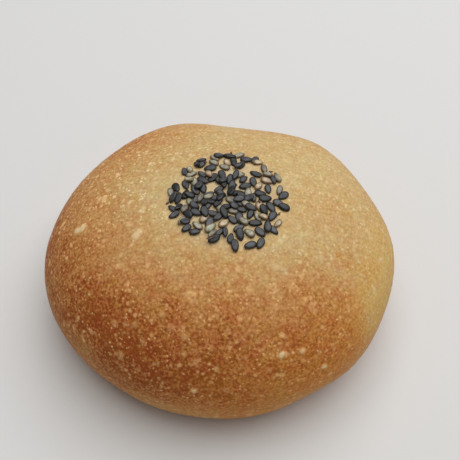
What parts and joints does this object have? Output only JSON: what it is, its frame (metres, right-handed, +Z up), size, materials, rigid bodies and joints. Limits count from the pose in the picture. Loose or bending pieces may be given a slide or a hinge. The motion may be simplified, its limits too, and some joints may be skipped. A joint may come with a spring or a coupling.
{
  "type": "bread roll",
  "caption": "Round hand-shaped bread roll, a little oval, with a smooth browned crust, a flat foot and a patch of black sesame seeds on its crown.",
  "frame": {"origin": "on the surface that the roll rests on, under the middle of its outline", "axes": "+Z up out of the flat foot, +X along the longer side of the outline"},
  "size_m": [0.0974, 0.0878, 0.0457],
  "materials": {
    "crust": "dull to satin baked crust, golden tan on the crown and browner on the flanks",
    "seed_black": "satin charcoal black sesame husk",
    "seed_grey": "satin olive grey sesame husk",
    "seed_pale": "satin cream to tan hulled sesame seed"
  },
  "bodies": {
    "root": {"bread_roll": "crust"}
  },
  "joints": []
}
